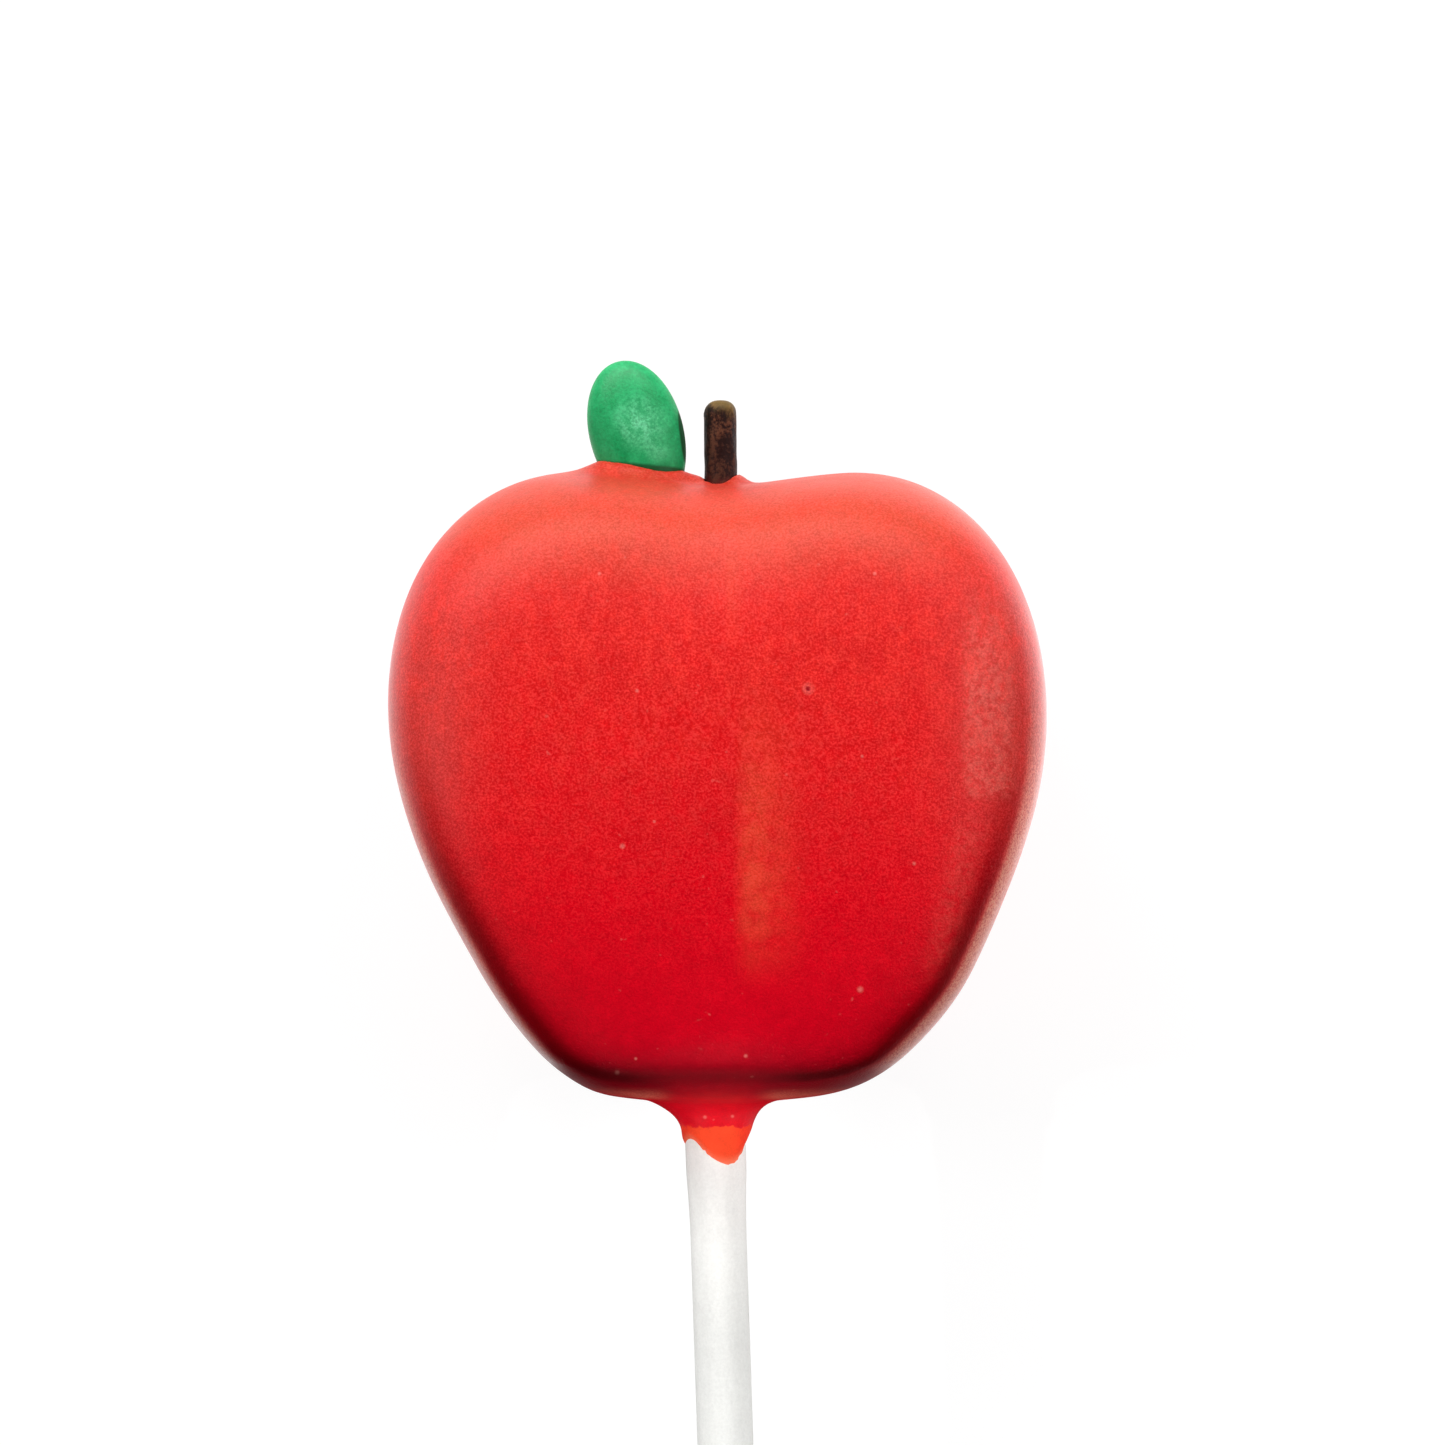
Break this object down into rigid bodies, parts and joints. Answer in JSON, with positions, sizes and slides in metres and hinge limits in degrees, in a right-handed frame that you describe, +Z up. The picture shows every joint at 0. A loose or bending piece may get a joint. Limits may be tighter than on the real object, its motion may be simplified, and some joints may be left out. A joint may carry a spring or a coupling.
{
  "type": "cake pop",
  "caption": "Apple-shaped cake pop: a flattened coated cake with a candy leaf and stem, on a rolled paper stick.",
  "frame": {"origin": "on the small flat of the apple's back that it rests on, under the middle of the apple's height and width", "axes": "+Z up, out of the decorated face; +Y along the pop, from the stick to the leaf; +X to the right of the face as it is seen"},
  "size_m": [0.0467, 0.147, 0.0254],
  "materials": {
    "red_coating": "satin, slightly pitted confectioner's coating",
    "green_candy": "satin hard candy shell",
    "brown_stem": "mottled, slightly waxy",
    "white_paper": "matt rolled paper"
  },
  "bodies": {
    "root": {"coated_cake": "red_coating", "candy_leaf": "green_candy", "stem": "brown_stem", "stick": "white_paper"}
  },
  "joints": []
}
